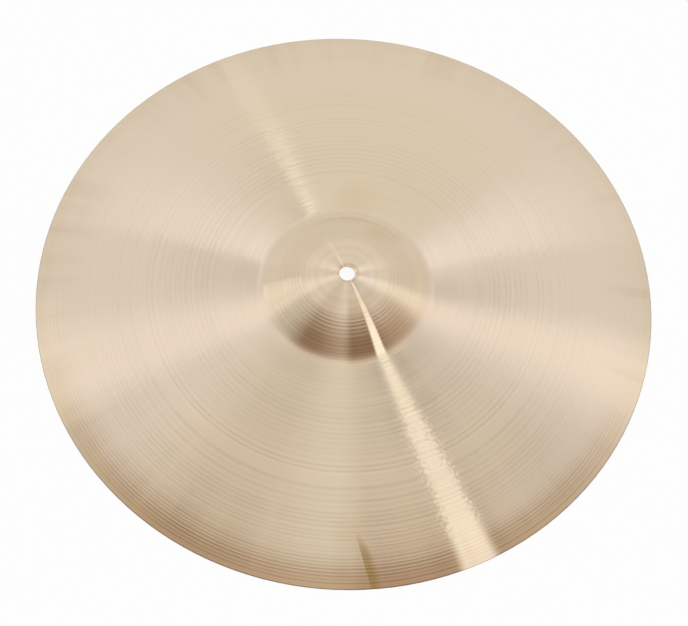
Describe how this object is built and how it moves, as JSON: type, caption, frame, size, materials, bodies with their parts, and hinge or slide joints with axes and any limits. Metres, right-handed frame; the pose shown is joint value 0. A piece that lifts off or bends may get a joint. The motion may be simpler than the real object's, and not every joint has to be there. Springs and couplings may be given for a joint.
{
  "type": "suspended cymbal",
  "caption": "Round bronze cymbal with a domed bell, a tapering bow with turned grooves and a central hole for a stand's rod.",
  "frame": {"origin": "on the hole's axis, at the level of the rim's lowest edge", "axes": "+Z along the hole's axis, up through the bell; the disc is round, so X and Y are free"},
  "size_m": [0.508, 0.508, 0.0493],
  "materials": {
    "bell_bronze": "lathe-turned, buffed and lacquered bell bronze"
  },
  "bodies": {
    "root": {"cymbal": "bell_bronze"}
  },
  "joints": []
}
